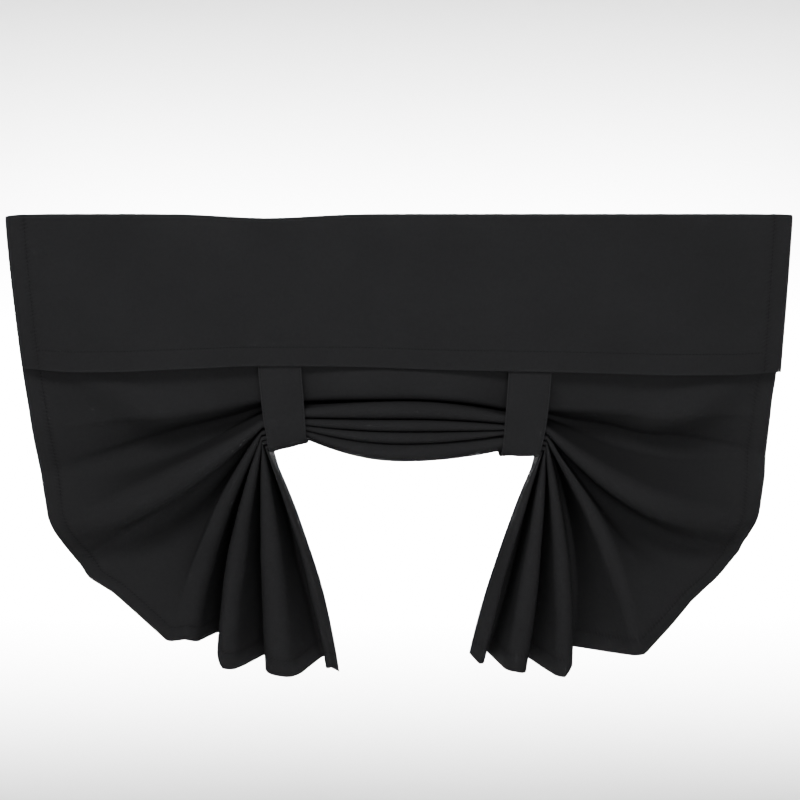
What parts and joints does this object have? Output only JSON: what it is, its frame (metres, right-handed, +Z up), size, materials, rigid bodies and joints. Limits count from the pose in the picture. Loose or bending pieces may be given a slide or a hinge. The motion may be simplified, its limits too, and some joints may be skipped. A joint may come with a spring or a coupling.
{
  "type": "blackout curtain panel",
  "caption": "Blackout curtain panel hung by its top edge: a plain turned-down flap over cloth gathered by bands into a pleated swag with fanned tails.",
  "frame": {"origin": "middle of the folded top edge, which is what holds the curtain", "axes": "+Z up, the front faces -Y, +X to the right as seen from the front"},
  "size_m": [1.1731, 0.1011, 0.733],
  "materials": {
    "curtain_cloth": "matte"
  },
  "bodies": {
    "root": {"panel": "curtain_cloth", "band_left": "curtain_cloth", "band_right": "curtain_cloth"}
  },
  "joints": []
}
